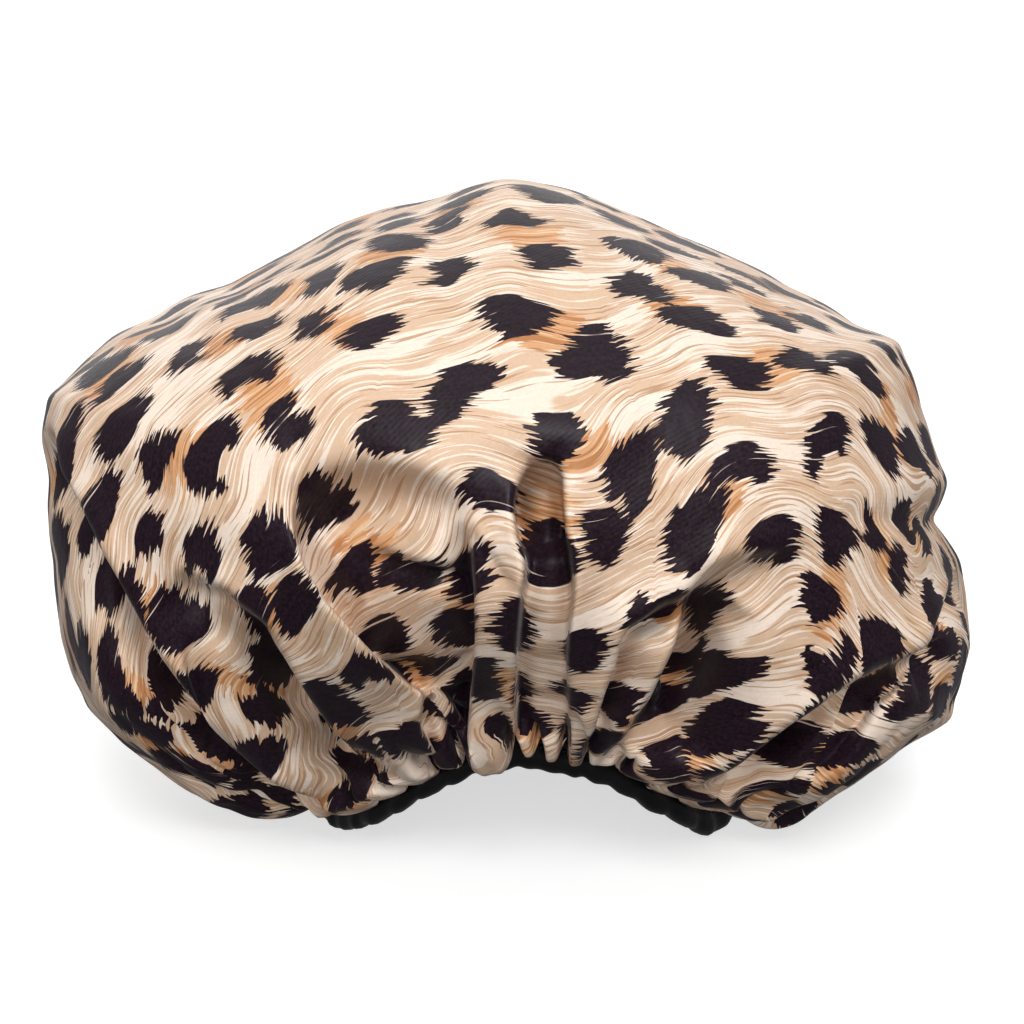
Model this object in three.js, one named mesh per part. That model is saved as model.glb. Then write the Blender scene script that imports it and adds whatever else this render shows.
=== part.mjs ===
// Elastic shower cap standing mouth-down: a round cut of printed cloth and a round
// lining, gathered together into a narrow folded binding that holds a loop of elastic.
// Millimetres, +Z up, front at -Y, origin on the resting plane under the middle.
import * as THREE from 'three';

// ---- driving dimensions ---------------------------------------------------------
const AROUND = 56;            // facets round the mouth
const SHELL_T = 1.0;          // printed cloth, with its loft
const LINING_OFFSET = 3.35;   // from the cap's outer face to the lining's outer face
const LINING_T = 0.8;
const HEM_R = 66.0;           // outer face of the cloth where it enters the binding
const HEM_TALL = 10.0;        // height of the folded binding
const HEM_CLOTH_END = 2.0;    // cut edge of cloth and lining above the binding's fold
const BIND_T = 0.8;           // binding tape
const BIND_OUT = [66.35, 67.15];   // outer leaf, inner and outer radius
const BIND_IN = [60.7, 61.5];      // inner leaf
const ELASTIC_R = [63.45, 64.65];  // flat elastic, inner and outer radius
const ELASTIC_Z = [1.2, 8.2];      // 7 mm wide
const STITCH_R = [67.45, 67.95];   // thread of the row of topstitching
const STITCH_Z = [7.2, 7.7];
const TACK = { r: [62.9, 63.2], wide: 2.4, z: [3.0, 6.5] };
const JOIN = { r: [67.45, 67.85], wide: 0.7, z: [0.7, 6.6] };
const ARCH_LIFT = 32.0;       // the front of the mouth stands this far off the table
const ARCH_AT = -92.0;        // azimuth of the arch, degrees
const ARCH_HALF = 58.0;       // it meets the table this far to each side
const DOME_SHIFT = [-5.0, 2.0];    // the filled dome leans this far off the middle of the mouth
const CENTER = [-4.991, 2.585];    // middle of the outline, moved to the origin

// ---- outline of the filled cap: [radius, height] from crown to mouth -----------------
const LEVELS = [0, 0.12, 0.24, 0.36, 0.47, 0.57, 0.66, 0.75, 0.83, 0.90, 0.96, 1.0];
const MERIDIANS = [   // every 45 degrees from +X
  [[0, 188], [38, 180], [75, 166], [107, 149], [122, 125], [131, 94], [139, 62], [129, 30], [107, 10], [86, 6], [75, 11.5], [68.5, 15.5]],
  [[0, 188], [40, 182], [79, 168], [110, 146], [126, 117], [132, 86], [131, 56], [120, 27], [101, 9], [84, 6], [75, 11.5], [68.5, 15.5]],
  [[0, 188], [40, 183], [78, 171], [106, 149], [120, 119], [125, 89], [123, 59], [113, 29], [97, 11], [83, 7], [75, 11.5], [68.5, 15.5]],
  [[0, 188], [42, 181], [84, 166], [117, 146], [131, 118], [134, 87], [130, 56], [118, 27], [101, 9], [84, 6], [75, 11.5], [68.5, 15.5]],
  [[0, 188], [44, 176], [88, 159], [128, 140], [138, 119], [138, 89], [135, 57], [122, 28], [101, 9], [84, 6], [75, 11.5], [68.5, 15.5]],
  [[0, 188], [44, 180], [86, 165], [118, 144], [131, 116], [133, 84], [126, 54], [111, 28], [96, 12], [83, 8], [75, 11.5], [68.5, 15.5]],
  [[0, 188], [36, 183], [70, 169], [98, 147], [116, 119], [124, 91], [121, 63], [110, 38], [96, 21], [83, 14], [75, 13], [68.5, 15.5]],
  [[0, 188], [39, 182], [77, 168], [108, 147], [125, 118], [132, 86], [129, 56], [116, 29], [99, 12], [84, 8], [75, 11.5], [68.5, 15.5]],
];

function catmull(a, b, c, d, t) {
  return 0.5 * (2 * b + (c - a) * t + (2 * a - 5 * b + 4 * c - d) * t * t + (3 * b - a - 3 * c + d) * t * t * t);
}

function onMeridian(m, level, axis) {
  const last = LEVELS.length - 1;
  let j = 0;
  while (j < last - 1 && level >= LEVELS[j + 1]) j++;
  const t = (level - LEVELS[j]) / (LEVELS[j + 1] - LEVELS[j]);
  const p = MERIDIANS[m];
  const before = j === 0 ? (axis === 0 ? -p[1][0] : p[1][1]) : p[j - 1][axis];
  const after = j + 2 > last ? 2 * p[last][axis] - p[last - 1][axis] : p[j + 2][axis];
  return catmull(before, p[j][axis], p[j + 1][axis], after, t);
}

function archLift(deg) {
  let d = ((deg - ARCH_AT + 540) % 360) - 180;
  d = Math.abs(d);
  return d >= ARCH_HALF ? 0 : ARCH_LIFT * (0.5 + 0.5 * Math.cos(Math.PI * d / ARCH_HALF));
}

function smooth(a, b, x) {
  const t = Math.min(1, Math.max(0, (x - a) / (b - a)));
  return t * t * (3 - 2 * t);
}

function outline(deg, level) {
  const n = MERIDIANS.length;
  const f = (((deg % 360) + 360) % 360) / 45;
  const k = Math.floor(f), t = f - k;
  const out = [0, 1].map((axis) => catmull(
    ...[-1, 0, 1, 2].map((o) => onMeridian((k + o + n) % n, level, axis)), t));
  out[1] += archLift(deg) * smooth(0.5, 1.0, level);
  return out;
}

const ROWS = [0.05, 0.11, 0.18, 0.26, 0.33, 0.40, 0.47, 0.54, 0.61, 0.68, 0.75, 0.81, 0.87, 0.92, 0.965, 1.0];

// share of the dome's lean at a row: all of it on the crown and wall, none at the mouth
const lean = (i) => (i < ROWS.length ? 1 - smooth(0.62, 1.0, ROWS[i]) : 0);

// one meridian as points with their outward direction in its own plane
function meridian(deg) {
  const lift = archLift(deg);
  const pts = ROWS.map((u) => outline(deg, u));
  pts.push([HEM_R + 0.5, lift + 14.0], [HEM_R, lift + 11.5], [HEM_R, lift + HEM_CLOTH_END]);
  return pts.map((p, i) => {
    const a = i === 0 ? [0, outline(deg, 0)[1]] : pts[i - 1];
    const b = i >= pts.length - 2 ? null : pts[i + 1];
    if (!b) return { p, n: [1, 0] };
    const d = [b[0] - a[0], b[1] - a[1]];
    const l = Math.hypot(d[0], d[1]);
    return { p, n: [-d[1] / l, d[0] / l] };
  });
}

// ---- builders -----------------------------------------------------------------------
const azimuth = (k) => 360 * k / AROUND;
function at(deg, r, z) {
  const a = THREE.MathUtils.degToRad(deg);
  return [r * Math.cos(a), r * Math.sin(a), z];
}

function geometry(points, tris) {
  const g = new THREE.BufferGeometry();
  g.setAttribute('position', new THREE.Float32BufferAttribute(points.flat(), 3));
  g.setIndex(tris.flat());
  g.computeVertexNormals();
  return g;
}

// a closed dome skin between two depths under the outline, open only at the mouth
function domeSkin(outerDepth, innerDepth) {
  const cols = Array.from({ length: AROUND }, (_, k) => meridian(azimuth(k)));
  const rows = cols[0].length;
  const crown = outline(0, 0)[1];
  const pts = [], tris = [];
  const skins = [outerDepth, innerDepth].map((depth) => {
    const pole = pts.length;
    pts.push([DOME_SHIFT[0], DOME_SHIFT[1], crown - depth]);
    const first = pts.length;
    for (let i = 0; i < rows; i++) {
      for (let k = 0; k < AROUND; k++) {
        const { p, n } = cols[k][i];
        // the normals point away from the cap's inside
        const q = at(azimuth(k), p[0] - depth * n[0], p[1] - depth * n[1]);
        pts.push([q[0] + DOME_SHIFT[0] * lean(i), q[1] + DOME_SHIFT[1] * lean(i), q[2]]);
      }
    }
    return { pole, id: (i, k) => first + i * AROUND + (k % AROUND) };
  });
  const [o, s] = skins;
  for (let k = 0; k < AROUND; k++) {
    tris.push([o.pole, o.id(0, k), o.id(0, k + 1)], [s.pole, s.id(0, k + 1), s.id(0, k)]);
    for (let i = 0; i < rows - 1; i++) {
      const [a, b, c, d] = [o.id(i, k), o.id(i + 1, k), o.id(i + 1, k + 1), o.id(i, k + 1)];
      tris.push([a, b, c], [a, c, d]);
      const [e, f, g, h] = [s.id(i, k), s.id(i + 1, k), s.id(i + 1, k + 1), s.id(i, k + 1)];
      tris.push([e, g, f], [e, h, g]);
    }
    const [a, b, c, d] = [o.id(rows - 1, k), s.id(rows - 1, k), s.id(rows - 1, k + 1), o.id(rows - 1, k + 1)];
    tris.push([a, b, c], [a, c, d]);
  }
  return geometry(pts, tris);
}

// a ring that follows the mouth: section is a closed polygon of [radius, height over the
// mouth's edge], counter-clockwise with the radius to the right
function mouthRing(section) {
  const n = section.length;
  const pts = [], tris = [];
  for (let k = 0; k < AROUND; k++) {
    const lift = archLift(azimuth(k));
    for (const [r, z] of section) pts.push(at(azimuth(k), r, z + lift));
  }
  const id = (k, i) => (k % AROUND) * n + (i % n);
  for (let k = 0; k < AROUND; k++) {
    for (let i = 0; i < n; i++) {
      const [a, b, c, d] = [id(k, i), id(k + 1, i), id(k + 1, i + 1), id(k, i + 1)];
      tris.push([a, b, c], [a, c, d]);
    }
  }
  return geometry(pts, tris);
}

const box = (r, z) => [[r[0], z[0]], [r[1], z[0]], [r[1], z[1]], [r[0], z[1]]];

// a short bar of thread standing across the mouth ring at the back
function threadBar(bar) {
  return new THREE.BoxGeometry(bar.wide, bar.r[1] - bar.r[0], bar.z[1] - bar.z[0])
    .translate(0, (bar.r[0] + bar.r[1]) / 2, (bar.z[0] + bar.z[1]) / 2);
}

function piece(name, geo, color, roughness) {
  const mesh = new THREE.Mesh(geo, new THREE.MeshStandardMaterial({ color, roughness, metalness: 0 }));
  mesh.name = name;
  return mesh;
}

// ---- the cap ------------------------------------------------------------------------
const cap = new THREE.Group();
cap.position.set(-CENTER[0], -CENTER[1], 0);
cap.add(
  piece('outer_shell', domeSkin(0, SHELL_T), 0xcbb08a, 0.5),
  piece('waterproof_lining', domeSkin(LINING_OFFSET, LINING_OFFSET + LINING_T), 0x17151b, 0.6),
  piece('hem_binding', mouthRing([
    [BIND_IN[0], 0], [BIND_OUT[1], 0], [BIND_OUT[1], HEM_TALL], [BIND_OUT[0], HEM_TALL],
    [BIND_OUT[0], BIND_T], [BIND_IN[1], BIND_T], [BIND_IN[1], HEM_TALL], [BIND_IN[0], HEM_TALL],
  ]), 0x0c0a10, 0.55),
  piece('elastic_band', mouthRing(box(ELASTIC_R, ELASTIC_Z)), 0xe6e2da, 0.85),
  piece('binding_topstitch', mouthRing(box(STITCH_R, STITCH_Z)), 0x100e14, 0.7),
  piece('elastic_lap_tack', threadBar(TACK), 0xf0ece4, 0.8),
  piece('binding_join_seam', threadBar(JOIN), 0x100e14, 0.7),
);

const root = new THREE.Group();
root.add(cap);
export default root;
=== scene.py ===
# Shower cap standing mouth-down: a round cut of printed cloth and a dark lining gathered
# into a narrow black binding with elastic in it. Worked in millimetres, handed over in metres.
import bpy
import math
import numpy as np
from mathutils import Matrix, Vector


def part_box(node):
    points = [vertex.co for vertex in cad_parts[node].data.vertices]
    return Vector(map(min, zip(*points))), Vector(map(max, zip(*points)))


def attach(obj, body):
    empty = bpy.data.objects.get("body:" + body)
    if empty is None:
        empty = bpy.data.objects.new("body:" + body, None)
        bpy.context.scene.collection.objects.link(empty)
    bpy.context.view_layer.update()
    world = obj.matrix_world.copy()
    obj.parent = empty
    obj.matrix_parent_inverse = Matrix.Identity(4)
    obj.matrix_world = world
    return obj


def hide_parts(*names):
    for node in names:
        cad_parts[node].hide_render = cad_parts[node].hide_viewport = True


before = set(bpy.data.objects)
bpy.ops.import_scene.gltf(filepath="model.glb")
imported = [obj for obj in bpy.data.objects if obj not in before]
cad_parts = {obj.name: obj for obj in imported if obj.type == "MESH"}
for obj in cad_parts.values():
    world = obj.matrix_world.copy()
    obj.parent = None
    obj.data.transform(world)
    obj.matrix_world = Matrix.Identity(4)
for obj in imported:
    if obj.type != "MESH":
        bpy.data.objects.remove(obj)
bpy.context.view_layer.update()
MM = 0.001

# ------------------------------------------------------------------ outline of the filled cap
LEV = np.array([0, .12, .24, .36, .47, .57, .66, .75, .83, .90, .96, 1.0])
MER = np.array([   # [radius, height] from crown to mouth, every 45 degrees from +X
    [[0, 188], [38, 180], [75, 166], [107, 149], [122, 125], [131, 94], [139, 62], [129, 30], [107, 10], [86, 6], [75, 11.5], [68.5, 15.5]],
    [[0, 188], [40, 182], [79, 168], [110, 146], [126, 117], [132, 86], [131, 56], [120, 27], [101, 9], [84, 6], [75, 11.5], [68.5, 15.5]],
    [[0, 188], [40, 183], [78, 171], [106, 149], [120, 119], [125, 89], [123, 59], [113, 29], [97, 11], [83, 7], [75, 11.5], [68.5, 15.5]],
    [[0, 188], [42, 181], [84, 166], [117, 146], [131, 118], [134, 87], [130, 56], [118, 27], [101, 9], [84, 6], [75, 11.5], [68.5, 15.5]],
    [[0, 188], [44, 176], [88, 159], [128, 140], [138, 119], [138, 89], [135, 57], [122, 28], [101, 9], [84, 6], [75, 11.5], [68.5, 15.5]],
    [[0, 188], [44, 180], [86, 165], [118, 144], [131, 116], [133, 84], [126, 54], [111, 28], [96, 12], [83, 8], [75, 11.5], [68.5, 15.5]],
    [[0, 188], [36, 183], [70, 169], [98, 147], [116, 119], [124, 91], [121, 63], [110, 38], [96, 21], [83, 14], [75, 13], [68.5, 15.5]],
    [[0, 188], [39, 182], [77, 168], [108, 147], [125, 118], [132, 86], [129, 56], [116, 29], [99, 12], [84, 8], [75, 11.5], [68.5, 15.5]],
], float)
SHIFT = np.array([-5., 2.])
MID = np.array([4.991, -2.585])      # middle of the mouth
ARCH = (32., -92., 58.)              # lift of the front of the mouth, where, half width in degrees
HEM_R = 66.0


def cat(a, b, c, d, t):
    return .5 * (2 * b + (c - a) * t + (2 * a - 5 * b + 4 * c - d) * t * t + (3 * b - a - 3 * c + d) * t ** 3)


def sstep(a, b, x):
    t = np.clip((x - a) / (b - a), 0, 1)
    return t * t * (3 - 2 * t)


def lift(deg):
    deg = np.asarray(deg, float)
    d = np.abs((deg - ARCH[1] + 540) % 360 - 180)
    up = np.where(d >= ARCH[2], 0, ARCH[0] * (.5 + .5 * np.cos(np.pi * np.minimum(d, ARCH[2]) / ARCH[2])))
    # the ruffled edge draws up a little more, most on the right
    e = np.abs((deg + 60 + 540) % 360 - 180)
    return up + 3.2 * (1 - sstep(44, 60, d)) + 2.6 * (1 - sstep(6, 26, e))


def outline(deg, lev):
    deg = np.asarray(deg, float) % 360
    lev = np.asarray(lev, float)
    k = np.floor(deg / 45).astype(int) % 8
    t = (deg / 45) % 1
    last = len(LEV) - 1
    j = np.clip(np.searchsorted(LEV, lev, side='right') - 1, 0, last - 1)
    w = (lev - LEV[j]) / (LEV[j + 1] - LEV[j])
    res = []
    for ax in (0, 1):
        M = MER[:, :, ax]

        def col(kk):
            kk = kk % 8
            g = lambda jj: M[kk, np.clip(jj, 0, last)]
            a = np.where(j == 0, -M[kk, 1] if ax == 0 else M[kk, 1], g(j - 1))
            d = np.where(j + 2 > last, 2 * M[kk, last] - M[kk, last - 1], g(j + 2))
            return cat(a, g(j), g(j + 1), d, w)
        res.append(cat(col(k - 1), col(k), col(k + 1), col(k + 2), t))
    res[1] = res[1] + lift(deg) * sstep(.5, 1., lev)
    return res


def ring_point(deg, r, z):
    a = np.radians(deg)
    return np.stack([r * np.cos(a) + MID[0], r * np.sin(a) + MID[1], z + 0 * a], -1)


# the way of the cloth from the crown into the binding, by azimuth
NA, NL = 720, 241
AZ = np.arange(NA) * 360. / NA


def cloth_paths():
    lev = np.linspace(0, 1, NL)
    A, Lv = np.meshgrid(AZ, lev, indexing='ij')
    r, z = outline(A, Lv)
    s = 1 - sstep(.62, 1., Lv)
    a = np.radians(A)
    # at the front the cloth comes down from above, and its gathers hang over the top of the binding
    d = np.abs((A - ARCH[1] + 540) % 360 - 180)
    w = 1 - sstep(52, 76, d)
    mid = 1 - sstep(24, 60, d)           # the middle is drawn in most, under a roof of cloth
    bell = np.hanning(27)[1:-1] / np.hanning(27).sum()

    def along(levels, values):
        a = np.interp(lev, levels, values)
        return np.convolve(np.r_[a[:1].repeat(12), a, a[-1:].repeat(12)], bell, 'valid')[None, :]

    r = r + w * np.interp(Lv, [.83, .96, 1.], [0, -.4, .9])
    z = z + w * (np.interp(Lv, [.66, .75, .83, .90, .96, 1.], [0, 2., 5.5, 3., -2.8, -3.8]))
    r = r + mid * along([.38, .47, .57, .66, .75, .83, .90, .96], [0, -2., -13., -22., -21., -14., -5.5, 0])
    z = z + mid * along([.47, .57, .66, .75, .83, .90, .96], [0, 2., 4.5, 5., .5, -1., 0])
    P = np.stack([r * np.cos(a) + SHIFT[0] * s + MID[0], r * np.sin(a) + SHIFT[1] * s + MID[1], z], -1)
    li = lift(AZ)
    w = w[:, 0]
    tail = [ring_point(AZ, rr + w * dr, li + zz + w * dz) for rr, dr, zz, dz in (
        (HEM_R + .5, .9, 14., -1.2), (HEM_R, .2, 11.5, -.4), (HEM_R - .7, 0, 8., 0), (HEM_R - 1., 0, 4., 0))]
    P = np.concatenate([P, np.stack(tail, 1)], 1)
    s = np.concatenate([np.zeros((NA, 1)), np.cumsum(np.linalg.norm(np.diff(P, axis=1), axis=2), 1)], 1)
    return P, s


PP, SS = cloth_paths()
R_FLAT = float(SS[:, -1].mean())


def base_pos(phi, v):
    i = (np.asarray(phi) % 360) * NA / 360.
    i0 = np.floor(i).astype(int) % NA
    i1 = (i0 + 1) % NA
    t = i - np.floor(i)
    out = 0
    for ii, w in ((i0, 1 - t), (i1, t)):
        q = v * SS[ii, -1]
        j = np.empty(len(q), int)
        for c in range(0, len(q), 4000):
            j[c:c + 4000] = (SS[ii[c:c + 4000]] <= q[c:c + 4000, None]).sum(1) - 1
        j = np.clip(j, 0, SS.shape[1] - 2)
        f = (q - SS[ii, j]) / np.maximum(SS[ii, j + 1] - SS[ii, j], 1e-9)
        out = out + (PP[ii, j] * (1 - f)[:, None] + PP[ii, j + 1] * f[:, None]) * w[:, None]
    return out


# ------------------------------------------------------------------ ring mesh of a round cut
def disc(K):
    off = lambda k: 0 if k == 0 else 1 + 3 * k * (k - 1)
    kk = np.concatenate([[0]] + [np.full(6 * k, k) for k in range(1, K + 1)])
    jj = np.concatenate([[0]] + [np.arange(6 * k) for k in range(1, K + 1)])
    th = np.where(kk > 0, 2 * np.pi * jj / np.maximum(6 * kk, 1), 0)
    T = []
    for k in range(1, K + 1):
        q = np.repeat(np.arange(6), k)
        i = np.tile(np.arange(k), 6)
        a = off(k) + (q * k + i) % (6 * k)
        b = off(k) + (q * k + i + 1) % (6 * k)
        m = max(6 * (k - 1), 1)
        c = off(k - 1) + (q * (k - 1) + i) % m if k > 1 else np.zeros(6 * k, int)
        T.append(np.stack([c, a, b], 1))
        if k > 1:
            q = np.repeat(np.arange(6), k - 1)
            i = np.tile(np.arange(k - 1), 6)
            c = off(k - 1) + (q * (k - 1) + i) % m
            d = off(k - 1) + (q * (k - 1) + i + 1) % m
            b = off(k) + (q * k + i + 1) % (6 * k)
            T.append(np.stack([c, b, d], 1))
    return kk, th, np.concatenate(T)


def vertex_normals(P, T):
    n = np.cross(P[T[:, 1]] - P[T[:, 0]], P[T[:, 2]] - P[T[:, 0]])
    N = np.zeros_like(P)
    for c in range(3):
        for k in range(3):
            N[:, c] += np.bincount(T[:, k], n[:, c], len(P))
    return N / np.maximum(np.linalg.norm(N, axis=1, keepdims=True), 1e-12)


def edges_of(T):
    e = np.sort(np.concatenate([T[:, [0, 1]], T[:, [1, 2]], T[:, [2, 0]]]), 1)
    key = np.unique(e[:, 0].astype(np.int64) * (T.max() + 1) + e[:, 1])
    return np.stack([key // (T.max() + 1), key % (T.max() + 1)], 1)


def soften(X, E, n, lam, keep=None):
    """n rounds of neighbour averaging; keep (0..1) holds points where they are"""
    deg = np.bincount(E.ravel(), minlength=len(X)).astype(float)
    X = X.copy()
    one = X.ndim == 1
    if one:
        X = X[:, None]
    w = lam * (1 if keep is None else (1 - keep)[:, None])
    for _ in range(n):
        S = np.stack([np.bincount(E[:, 0], X[E[:, 1], c], len(X)) + np.bincount(E[:, 1], X[E[:, 0], c], len(X))
                      for c in range(X.shape[1])], 1)
        X += w * (S / deg[:, None] - X)
    return X[:, 0] if one else X


# ------------------------------------------------------------------ folds of the cloth
# The camera's own projection places the front folds, in pixels of a 1024 frame.
CF, CE, CD, CH = 1849., math.radians(17.), 560., 88.


def project(P):
    x, y, z = P[..., 0], P[..., 1], P[..., 2]
    dep = CD + y * math.cos(CE) - (z - CH) * math.sin(CE)
    return np.stack([512 + CF * x / dep, 512 - CF * (y * math.sin(CE) + (z - CH) * math.cos(CE)) / dep], -1), dep


# edges where one fold lies over the next: high side seen along the line, width of the high and
# of the low side, softness, how far the fold lies over and the next goes under it (all in
# pixels), then points (x, y, rise mm, drop mm)
EDGES = [
    ('R', 24, 32, 4, 7, 14, [(50, 425, 0, 0), (56, 440, 1, 4), (65, 471, 3, 10), (84, 519, 4, 15), (100, 559, 5, 19), (121, 602, 5, 24), (137, 634, 5, 25), (156, 666, 5, 25), (180, 701, 5, 24), (204, 728, 5, 21), (234, 755, 4, 15), (260, 779, 3, 12), (287, 800, 2, 8), (302, 809, 1, 4)]),
    ('R', 30, 34, 4, 8, 15, [(176, 572, 0, 0), (184, 577, 2, 5), (202, 589, 4, 10), (223, 598, 5, 14), (237, 613, 6, 18), (258, 630, 7, 23), (269, 651, 7, 27), (288, 678, 7, 30), (304, 704, 7, 31), (322, 728, 7, 29), (346, 755, 6, 24), (373, 776, 5, 16), (402, 794, 3, 8)]),
    ('L', 14, 14, 3, 4, 5, [(185, 640, 0, 0), (190, 665, 2, 4), (204, 696, 2, 6), (218, 728, 2, 6), (240, 752, 2, 5), (258, 768, 1, 3)]),
    ('L', 40, 56, 5, 10, 14, [(296, 500, 0, 2), (299, 518, 3, 8), (303, 533, 6, 14), (314, 562, 8, 18), (333, 594, 8, 21), (360, 624, 8, 21), (376, 642, 8, 20), (397, 664, 7, 18), (416, 680, 6, 16), (430, 691, 4, 9), (440, 702, 1, 3)]),
    ('R', 40, 78, 17, 2, 2, [(296, 506, 0, 0), (310, 492, 2, 7), (330, 482, 4, 11), (365, 476, 4, 14), (405, 479, 4, 14), (435, 489, 4, 12), (455, 503, 2, 9), (466, 518, 0, 4)]),
    ('L', 11, 11, 3.5, 4, 6, [(422, 684, 1, 1), (425, 700, 2, 5), (426, 718, 3, 8), (427, 748, 3, 8), (433, 768, 2, 5)]),
    ('R', 16, 18, 3, 4, 5, [(366, 545, 0, 0), (385, 552, 2, 4), (403, 559, 2, 6), (421, 566, 3, 7), (440, 570, 2, 7), (455, 569, 1, 4), (464, 566, 0, 1)]),
    ('R', 22, 22, 5, 7, 10, [(462, 520, 0, 0), (465, 540, 3, 6), (466, 554, 5, 10), (467, 594, 6, 15), (468, 644, 6, 17), (465, 693, 6, 15), (462, 731, 5, 12), (464, 756, 3, 7)]),
    ('L', 24, 24, 4, 6, 9, [(540, 464, 0, 4), (530, 475, 1, 14), (523, 490, 3, 23), (521, 505, 4, 28), (522, 520, 5, 29), (525, 538, 6, 26), (529, 549, 6, 18), (530, 560, 7, 13), (530, 574, 7, 12), (526, 594, 7, 12), (522, 640, 7, 12), (520, 690, 6, 11), (519, 743, 5, 9), (519, 762, 3, 6)]),
    ('R', 30, 24, 4, 6, 9, [(541, 463, 0, 5), (553, 468, 1, 12), (557, 480, 2, 16), (556, 495, 3, 20), (558, 520, 4, 21), (560, 538, 5, 19), (565, 549, 6, 14), (567, 560, 7, 11), (569, 574, 7, 11), (569, 594, 7, 11), (564, 631, 7, 11), (562, 669, 7, 11), (564, 718, 5, 9), (565, 750, 4, 7)]),
    ('L', 30, 16, 3.5, 6, 8, [(716, 579, 0, 0), (708, 584, 2, 3), (693, 594, 3, 6), (678, 604, 4, 8), (663, 614, 5, 10), (649, 624, 6, 12), (634, 632, 6, 13), (627, 642, 6, 13), (621, 669, 6, 13), (611, 693, 6, 12), (604, 718, 5, 11), (599, 738, 4, 9), (586, 762, 3, 6)]),
    ('L', 18, 40, 4, 7, 12, [(706, 582, 0, 3), (702, 587, 1, 7), (696, 602, 3, 18), (690, 619, 5, 26), (681, 651, 6, 31), (668, 676, 6, 31), (654, 703, 6, 26), (639, 721, 5, 20), (624, 743, 4, 10), (611, 764, 3, 6)]),
    ('L', 30, 62, 8, 3, 4, [(815, 545, 0, 0), (780, 551, 2, 3), (754, 560, 3, 7), (730, 568, 4, 9), (712, 577, 4, 9), (700, 583, 2, 5)]),
    ('L', 34, 34, 4, 8, 14, [(945, 640, 0, 0), (933, 647, 1, 4), (916, 659, 3, 8), (876, 677, 5, 14), (846, 698, 6, 21), (819, 717, 7, 25), (795, 732, 7, 27), (771, 750, 7, 26), (742, 771, 6, 22), (713, 785, 4, 15), (696, 796, 2, 7)]),
    ('R', 30, 18, 3.5, 4, 5, [(925, 668, 0, 0), (900, 690, 2, 4), (875, 715, 3, 7), (858, 738, 3, 7), (841, 756, 3, 6), (815, 776, 2, 4), (790, 792, 0, 1)]),
    ('L', 20, 14, 3.5, 4, 5, [(955, 575, 0, 0), (952, 584, 1, 2), (946, 605, 2, 4), (938, 632, 2, 5), (930, 655, 1, 3), (926, 690, 0, 1)]),
]
# plain hollows (-) and rolls (+): width, then points (x, y, height mm)
LINES = [
    (46, [(345, 490, -4), (390, 570, -8), (430, 640, -8), (450, 700, -5)]),
    (26, [(700, 625, -4), (692, 680, -7), (668, 722, -4)]),
    (34, [(480, 430, 2), (540, 425, 3), (610, 430, 3)]),
    (40, [(240, 520, 2), (300, 620, 3), (360, 700, 4), (420, 770, 3)]),
    (14, [(935, 655, -2), (900, 690, -3), (868, 735, -2)]),
    (60, [(770, 690, 2), (830, 650, 2)]),
    (30, [(820, 770, 2), (880, 730, 2)]),
]
# those of the edges under which the gathered cloth is doubled away, so that the print jumps there
CUTS = (0, 1, 3, 7, 8, 9, 10, 11, 13)


def seg_field(X, Y, pts):
    """nearest point of a line: distance, side, values there, and the direction in which side grows"""
    pts = np.array(pts, float)
    best = np.full(X.shape, 1e9)
    side = np.zeros(X.shape)
    val = np.zeros(X.shape + (pts.shape[1] - 2,))
    nx = np.zeros(X.shape)
    ny = np.zeros(X.shape)
    for a, b in zip(pts[:-1], pts[1:]):
        dx, dy = b[0] - a[0], b[1] - a[1]
        L = math.hypot(dx, dy)
        tc = np.clip(((X - a[0]) * dx + (Y - a[1]) * dy) / (L * L), 0, 1)
        d = np.hypot(X - (a[0] + tc * dx), Y - (a[1] + tc * dy))
        m = d < best
        best[m] = d[m]
        side[m] = (((X - a[0]) * dy - (Y - a[1]) * dx) / L)[m]
        val[m] = (a[2:] + (b[2:] - a[2:]) * tc[:, None])[m]
        nx[m] = dy / L
        ny[m] = -dx / L
    return best, np.where(side >= 0, 1., -1.), val, nx, ny


def front_folds(X, Y):
    """rise and drop of the cloth at each place of the frame, and how far it moves aside"""
    rise = np.zeros(X.shape)
    drop = np.zeros(X.shape)
    lx = np.zeros(X.shape)
    ly = np.zeros(X.shape)
    for hi, wh, wl, soft, over, under, pts in EDGES:
        d, sg, val, nx, ny = seg_field(X, Y, pts)
        f = 1. if hi == 'R' else -1.
        k = np.clip(val[:, 1] / max(p[3] for p in pts), 0, 1)
        sd = d * sg * f - over * k      # what ends up on the line comes from further back on the high side
        s = .5 + .5 * np.tanh(sd / soft)
        up = s * np.exp(-(np.maximum(sd, 0) / wh) ** 2)
        dn = (1 - s) * np.exp(-(np.minimum(sd, 0) / wl) ** 2)
        rise += val[:, 0] * up
        drop += val[:, 1] * dn
        m = k * f * (under * dn - over * up)
        lx += m * nx
        ly += m * ny
    for w, pts in LINES:
        d, sg, val, nx, ny = seg_field(X, Y, pts)
        add = val[:, 0] * np.exp(-(d / w) ** 2)
        rise += np.maximum(add, 0)
        drop += np.maximum(-add, 0)
    return rise, drop, lx, ly


# gathers at the mouth: where one ends and the next begins, in degrees
def pleat_borders():
    rng = np.random.default_rng(7)
    front = [-136.4, -127.5, -119.1, -110.7, -104.1, -92.4, -87.8, -82.8, -77.4, -70.8, -62.9, -53.5, -43.0]
    w = rng.uniform(.65, 1.45, 34)
    w *= (360 - (front[-1] - front[0])) / w.sum()
    return np.array(front + list((front[-1] + np.cumsum(w))[:-1]))


PB = pleat_borders()


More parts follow.
